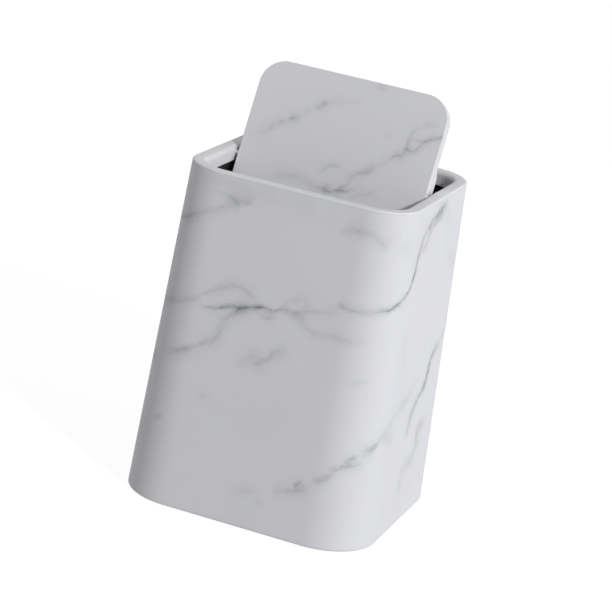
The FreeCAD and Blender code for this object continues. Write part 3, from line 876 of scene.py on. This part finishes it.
pinSizes = {
    "radius": 1.5,
    "collar": 2.4,
    "collarLength": 1.0,
    "root": 71.65,
    "tip": 89.65,
    "tipRound": 0.4,
    "rootRound": 0.2,
    "seamRound": 0.1,
    "collarBack": 0.15,
    "collarFront": 0.25,
    "cap": 0.3,
    "around": 40,
    "step": 2,
}


# Pin along X with a collar against the lid's side, turned from one profile
def pivotPin(side, node):
    s = pinSizes
    lidSide = axis + lidSizes["reach"]
    collarEnd = lidSide + s["collarLength"]
    section = [
        (s["cap"], s["root"], 0),
        (s["radius"], s["root"], s["rootRound"]),
        (s["radius"], lidSide, s["seamRound"]),
        (s["collar"], lidSide, s["collarBack"]),
        (s["collar"], collarEnd, s["collarFront"]),
        (s["radius"], collarEnd, s["collarFront"]),
        (s["radius"], s["tip"], s["tipRound"]),
        (s["cap"], s["tip"], 0),
    ]
    points, faces = alongX(turned(section, (0, 0, 0), s["around"], s["step"]))
    if side < 0:
        points = points * (-1, -1, 1)  # half turn about Z
    name = "pivotPin" + ("Left" if side < 0 else "Right")
    made = makeObject(name, openLid((points + (0, 0, pivotHeight), faces)))
    finishPiece(made, node, "lid", finishes["whitePlastic"])


frameSizes = {
    "outer": 33.3,
    "opening": 24.45,
    "skirt": 26.45,
    "channelOut": 31.5,
    "low": 269.0,
    "coverLow": 278.9,
    "skirtLow": 268.5,
    "channelTop": 278.6,
    "openingRound": 3.9,
    "rimRound": 1.5,
    "ribThick": 1.6,
    "ribPitch": 42.0,
    "bearingAhead": 7.0,
    "bearingBehind": 15.0,
    "seat": 1.56,  # radius of the pin's seat
    "throat": 1.35,  # half height of the way into it
    "entry": 1.75,  # half width of the slot that the pin comes up
    "entryBehind": 6.15,
    "slotEnd": 89.95,
    "cutPast": 2.0,  # how far the slots' cut starts inside the opening
    "cutBelow": 1.0,
    "entrySteps": 14,
    "seatSteps": 24,
    "footRound": 0.3,
    "stepRound": 0.2,
    "coverTip": 0.05,
    "skirtRound": 0.5,
    "ribEdge": 0.2,
    "ribLift": 0.2,
    "ribIn": 1.0,
    "fuse": 0.7,  # how far ribs and bearings reach into the walls
    "sideSteps": 40,
    "cornerSteps": 18,
    "step": 3,
}


# Outline of the pin's slot, counterclockwise in Y and Z: up the entry, over its round end, forward along the
# throat, round the seat and back
def slotOutline():
    s = frameSizes
    meet = math.asin(s["throat"] / s["entry"])
    over = np.linspace(0, math.pi - meet, s["entrySteps"])
    top = np.stack([s["entryBehind"] + s["entry"] * np.cos(over), pivotHeight + s["entry"] * np.sin(over)], 1)
    leave = math.asin(s["throat"] / s["seat"])
    past = np.linspace(leave, 2 * math.pi - leave, s["seatSteps"])
    seat = np.stack([s["seat"] * np.cos(past), pivotHeight + s["seat"] * np.sin(past)], 1)
    left = s["entryBehind"] - s["entry"]
    floor = s["skirtLow"] - s["cutBelow"]
    low = [(left, pivotHeight - s["throat"]), (left, floor), (s["entryBehind"] + s["entry"], floor)]
    return np.vstack([top, seat, low])


# Ring of one closed section with an open channel below. Ribs and bearing blocks are fused to it, and the
# slots for the pins are cut.
def topFrame():
    s = frameSizes
    rim = binPlan["rim"]
    cover = wallReach(s["coverLow"])
    section = [
        (s["outer"], s["low"], s["footRound"]),
        (s["outer"], s["coverLow"], s["stepRound"]),
        (cover, s["coverLow"], s["coverTip"]),
        (cover, rim, s["rimRound"]),
        (s["opening"], rim, s["openingRound"]),
        (s["opening"], s["skirtLow"], s["skirtRound"]),
        (s["skirt"], s["skirtLow"], s["footRound"]),
        (s["skirt"], s["channelTop"], s["skirtRound"]),
        (s["channelOut"], s["channelTop"], s["skirtRound"]),
        (s["channelOut"], s["low"], s["footRound"]),
    ]
    path = pathAround(axis, axis, s["sideSteps"], s["cornerSteps"])
    made = makeObject("topFrame", sweep(path, roundedProfile(section, s["step"], closed=True), "joined"))
    near = axis + s["opening"] + s["fuse"]
    far = axis + s["outer"] - s["fuse"]
    low = s["low"] + s["ribLift"]
    high = s["channelTop"] + s["ribIn"]
    half = s["ribThick"] / 2
    ribs = []
    for place in (-s["ribPitch"], 0, s["ribPitch"]):
        for side in (-1, 1):
            ends = sorted((side * near, side * far))
            ribs.append(block((place - half, ends[0], low), (place + half, ends[1], high), s["ribEdge"]))
            ahead = s["bearingAhead"] if place == 0 else half - place
            behind = s["bearingBehind"] if place == 0 else half + place
            ribs.append(block((ends[0], -ahead, low), (ends[1], behind, high), s["ribEdge"]))
    slots = []
    outline = slotOutline()
    still = np.zeros(outline.shape)  # the outline doesn't grow along the cut
    inside = axis + s["opening"] - s["cutPast"]
    for start, end in ((inside, s["slotEnd"]), (-s["slotEnd"], -inside)):
        slots.append(alongX(sweep((outline, still), np.array([(0, start), (0, end)]), "capped")))
    tools = [(makeObject("ribs", joined(ribs)), "UNION"), (makeObject("slots", joined(slots)), "DIFFERENCE")]
    for tool, operation in tools:
        step = made.modifiers.new(tool.name, "BOOLEAN")
        step.operation = operation
        step.solver = "EXACT"
        step.object = tool
    graph = bpy.context.evaluated_depsgraph_get()
    made.data = bpy.data.meshes.new_from_object(made.evaluated_get(graph))
    made.modifiers.clear()
    for tool, operation in tools:
        bpy.data.objects.remove(tool)
    finishPiece(made, "top_frame", "frame", finishes["whitePlastic"])


bucketSizes = {
    "half": 88.9,  # at the lip
    "wall": 1.8,
    "floor": 2.0,
    "low": 14.0,
    "lipTop": 269.0,
    "lipThick": 2.5,
    "lipHalf": 93.25,
    "draft": 2.0,
    "round": 8.0,
    "lipInner": 0.6,
    "lipEdge": 0.4,
    "lipRound": 0.8,
    "cap": 2.0,
    "sideSteps": 24,
    "cornerSteps": 16,
    "step": 8,
}


# Drawn bucket: its section runs from the underside up the outside, round the lip and down the inside
def liner():
    s = bucketSizes
    slope = math.tan(math.radians(s["draft"]))

    def reach(height, inset):
        return s["half"] - inset - (s["lipTop"] - height) * slope - axis

    lipLow = s["lipTop"] - s["lipThick"]
    floor = s["low"] + s["floor"]
    section = [
        (reach(s["low"], 0) - s["round"] - s["cap"], s["low"], 0),
        (reach(s["low"], 0), s["low"], s["round"]),
        (reach(lipLow, 0), lipLow, s["lipInner"]),
        (s["lipHalf"] - axis, lipLow, s["lipEdge"]),
        (s["lipHalf"] - axis, s["lipTop"], s["lipRound"]),
        (reach(s["lipTop"], s["wall"]), s["lipTop"], s["lipInner"]),
        (reach(floor, s["wall"]), floor, s["round"] - s["wall"]),
        (reach(floor, s["wall"]) - s["round"] - s["cap"], floor, 0),
    ]
    path = pathAround(axis, axis, s["sideSteps"], s["cornerSteps"])
    made = makeObject("bucketLiner", sweep(path, roundedProfile(section, s["step"]), "capped"))
    finishPiece(made, "inner_bucket", "bucket", finishes["blackPlastic"])


baseSizes = {
    "gap": 0.25,
    "wall": 2.0,
    "low": 1.4,
    "underside": 3.0,
    "floor": 5.2,
    "top": 12.0,
    "rib": 1.8,
    "ribHigh": 10.0,
    "ribPitch": 35.0,
    "socketIn": 9.3,
    "socketOut": 11.0,
    "socketRound": 0.3,
    "socketStep": 3,
    "innerRound": 0.8,
    "skirtRound": 0.4,
    "topRound": 0.5,
    "floorRound": 1.0,
    "ribEdge": 0.4,
    "cap": 4.0,
    "fuse": 0.5,  # how far ribs and sockets reach into the floor and wall
    "sideSteps": 20,
    "cornerSteps": 12,
    "step": 8,
}
footSizes = {
    "radius": 9.0,
    "thick": 3.0,
    "round": 0.6,
    "neck": 2.5,
    "barb": 3.4,
    "barbLow": 5.3,
    "barbTop": 7.9,
    "barbTip": 1.6,
    "place": 69.5,
    "padTop": 0.25,  # rounding of the pad's upper edge, then those of the neck, the barb and its tip
    "neckRound": 0.2,
    "barbUnder": 0.1,
    "barbRound": 0.2,
    "tipRound": 0.3,
    "padCap": 1.0,
    "tipCap": 0.5,
    "around": 48,
    "step": 2,
}
footNodes = {
    "foot_front_left": (-1, -1),
    "foot_front_right": (1, -1),
    "foot_rear_left": (-1, 1),
    "foot_rear_right": (1, 1),
}


# Pan that closes the shell from below, with crossed ribs above its floor and a ring round each foot below it
def baseTray():
    s = baseSizes

    def reach(height, inset):
        return wallReach(height) - binPlan["wall"] - s["gap"] - inset

    section = [
        (reach(s["underside"], s["wall"]) - s["cap"], s["underside"], 0),
        (reach(s["underside"], s["wall"]), s["underside"], s["innerRound"]),
        (reach(s["low"], s["wall"]), s["low"], s["skirtRound"]),
        (reach(s["low"], 0), s["low"], s["skirtRound"]),
        (reach(s["top"], 0), s["top"], s["topRound"]),
        (reach(s["top"], s["wall"]), s["top"], s["topRound"]),
        (reach(s["floor"], s["wall"]), s["floor"], s["floorRound"]),
        (reach(s["floor"], s["wall"]) - s["cap"], s["floor"], 0),
    ]
    path = pathAround(axis, axis, s["sideSteps"], s["cornerSteps"])
    parts = [sweep(path, roundedProfile(section, s["step"]), "capped")]
    end = axis + reach(s["floor"], s["wall"]) + s["fuse"]
    ribLow = s["floor"] - s["fuse"]
    for place in (-s["ribPitch"], 0, s["ribPitch"]):
        near = place - s["rib"] / 2
        far = place + s["rib"] / 2
        parts.append(block((-end, near, ribLow), (end, far, s["ribHigh"]), s["ribEdge"]))
        parts.append(block((near, -end, ribLow), (far, end, s["ribHigh"]), s["ribEdge"]))
    high = s["underside"] + s["fuse"]
    ring = [
        (s["socketIn"], high, 0),
        (s["socketIn"], s["low"], s["socketRound"]),
        (s["socketOut"], s["low"], s["socketRound"]),
        (s["socketOut"], high, 0),
    ]
    profile = roundedProfile(ring, s["socketStep"], closed=True)
    for sideX, sideY in footNodes.values():
        points, faces = sweep(pathRound(footSizes["around"]), profile, "joined")
        parts.append((points + (sideX * footSizes["place"], sideY * footSizes["place"], 0), faces))
    made = makeObject("baseTray", joined(parts))
    finishPiece(made, "base_plate", "bin_body", finishes["greyPlastic"])


# Push-in foot: pad, neck and barb turned from one profile
def rubberFoot(node, sideX, sideY):
    s = footSizes
    section = [
        (s["padCap"], 0, 0),
        (s["radius"], 0, s["round"]),
        (s["radius"], s["thick"], s["padTop"]),
        (s["neck"], s["thick"], s["neckRound"]),
        (s["neck"], s["barbLow"], s["barbUnder"]),
        (s["barb"], s["barbLow"], s["barbRound"]),
        (s["barbTip"], s["barbTop"], s["tipRound"]),
        (s["tipCap"], s["barbTop"], 0),
    ]
    foot = turned(section, (sideX * s["place"], sideY * s["place"], 0), s["around"], s["step"])
    name = "rubberFoot" + ("Front" if sideY < 0 else "Rear") + ("Left" if sideX < 0 else "Right")
    made = makeObject(name, foot)
    finishPiece(made, node, "bin_body", finishes["footRubber"])


outerShell()
baseTray()
for footNode, (sideX, sideY) in footNodes.items():
    rubberFoot(footNode, sideX, sideY)
liner()
topFrame()
lidPanel()
lidTray()
counterweight()
pivotPin(-1, "pivot_pin_left")
pivotPin(1, "pivot_pin_right")
print("pieces made")

stage = {
    "floorHalf": 10.0,  # metres
    "floorLow": -0.0002,  # just under the feet
    "shownWhite": 0.9,  # how much of the floor's white the camera sees without any light
    "shownShade": (0.22, 0.22, 0.22, 1),
    "ambient": (0.36, 0.36, 0.36, 1),
    "backdrop": (1, 1, 1, 1),
}


# What the camera and mirrors see, as a switch: 1 for camera, glossy and transmission rays
def seenSwitch(tree):
    rays = addNode(tree, "ShaderNodeLightPath", {}).outputs
    seen = maths(tree, "MAXIMUM", rays["Is Camera Ray"], rays["Is Glossy Ray"])
    return maths(tree, "MAXIMUM", seen, rays["Is Transmission Ray"])


# Floor that shows white with the bin's shadow and gives even light, and a white world that gives the same
def studio():
    half = stage["floorHalf"]
    low = stage["floorLow"]
    corners = [(-half, -half, low), (half, -half, low), (half, half, low), (-half, half, low)]
    mesh = bpy.data.meshes.new("studioFloor")
    mesh.from_pydata(corners, [], [(0, 1, 2, 3)])
    floor = bpy.data.objects.new("studioFloor", mesh)
    bpy.context.scene.collection.objects.link(floor)
    finish = bpy.data.materials.new("studioFloor")
    finish.use_nodes = True
    tree = finish.node_tree
    tree.nodes.remove(tree.nodes["Principled BSDF"])
    even = addNode(tree, "ShaderNodeEmission", {"Color": stage["ambient"]}).outputs[0]
    glow = addNode(tree, "ShaderNodeEmission", {"Strength": stage["shownWhite"]}).outputs[0]
    shade = addNode(tree, "ShaderNodeBsdfDiffuse", {"Color": stage["shownShade"]}).outputs[0]
    shown = addNode(tree, "ShaderNodeAddShader", {0: glow, 1: shade}).outputs[0]
    mixed = addNode(tree, "ShaderNodeMixShader", {0: seenSwitch(tree), 1: even, 2: shown}).outputs[0]
    tree.links.new(mixed, tree.nodes["Material Output"].inputs["Surface"])
    mesh.materials.append(finish)
    world = bpy.data.worlds.new("studioWorld")
    world.use_nodes = True
    tree = world.node_tree
    backdrop = mixColour(tree, seenSwitch(tree), stage["ambient"], stage["backdrop"])
    tree.links.new(backdrop, tree.nodes["Background"].inputs["Color"])
    bpy.context.scene.world = world


# Lamps by their direction from the front, positive to the right, and their height, both in degrees. Sizes and
# distances are in metres.
lamps = {
    "keyLamp": {"azimuth": 53.2, "elevation": 30.5, "distance": 9.0, "size": 0.6, "power": 398.0},
    "sideLamp": {"azimuth": 105.6, "elevation": 12.0, "distance": 4.0, "size": 1.8, "power": 35.0},
}
lampAim = (0, 0, 0.16)


# Unit vector away from the bin towards a lamp or the camera
def wayTo(azimuth, elevation):
    azimuth = math.radians(azimuth)
    elevation = math.radians(elevation)
    level = math.cos(elevation)
    return Vector((math.sin(azimuth) * level, -math.cos(azimuth) * level, math.sin(elevation)))


def softLamps():
    for name, lamp in lamps.items():
        light = bpy.data.lights.new(name, "AREA")
        light.shape = "SQUARE"
        light.size = lamp["size"]
        light.energy = lamp["power"]
        made = bpy.data.objects.new(name, light)
        bpy.context.scene.collection.objects.link(made)
        toward = wayTo(lamp["azimuth"], lamp["elevation"])
        made.location = Vector(lampAim) + toward * lamp["distance"]
        made.rotation_euler = toward.to_track_quat("Z", "Y").to_euler()


view = {
    "azimuth": 17.2212,
    "elevation": 16.3761,
    "roll": 9.9033,  # the photograph stands askew
    "distance": 2.0287,
    "target": (-0.002379, 0, 0.16264),
    "lens": 144.53,
    "sensor": 36.0,
    "clipStart": 0.05,
    "clipEnd": 60.0,
}


# Camera that looks at the target from the photograph's side, turned about its own line of sight by the roll
def viewCamera():
    back = wayTo(view["azimuth"], view["elevation"])
    right = Vector((0, 0, 1)).cross(back).normalized()
    up = back.cross(right)
    roll = math.radians(view["roll"])
    turnedRight = math.cos(roll) * right + math.sin(roll) * up
    turnedUp = math.cos(roll) * up - math.sin(roll) * right
    place = Vector(view["target"]) + view["distance"] * back
    camera = bpy.data.cameras.new("photoCamera")
    camera.lens = view["lens"]
    camera.sensor_width = view["sensor"]
    camera.clip_start = view["clipStart"]
    camera.clip_end = view["clipEnd"]
    made = bpy.data.objects.new("photoCamera", camera)
    bpy.context.scene.collection.objects.link(made)
    turn = Matrix((turnedRight, turnedUp, back)).transposed()
    made.matrix_world = Matrix.Translation(place) @ turn.to_4x4()
    bpy.context.scene.camera = made


studio()
softLamps()
viewCamera()
bpy.context.scene.view_settings.view_transform = "Standard"
print("studio, lamps and camera made")
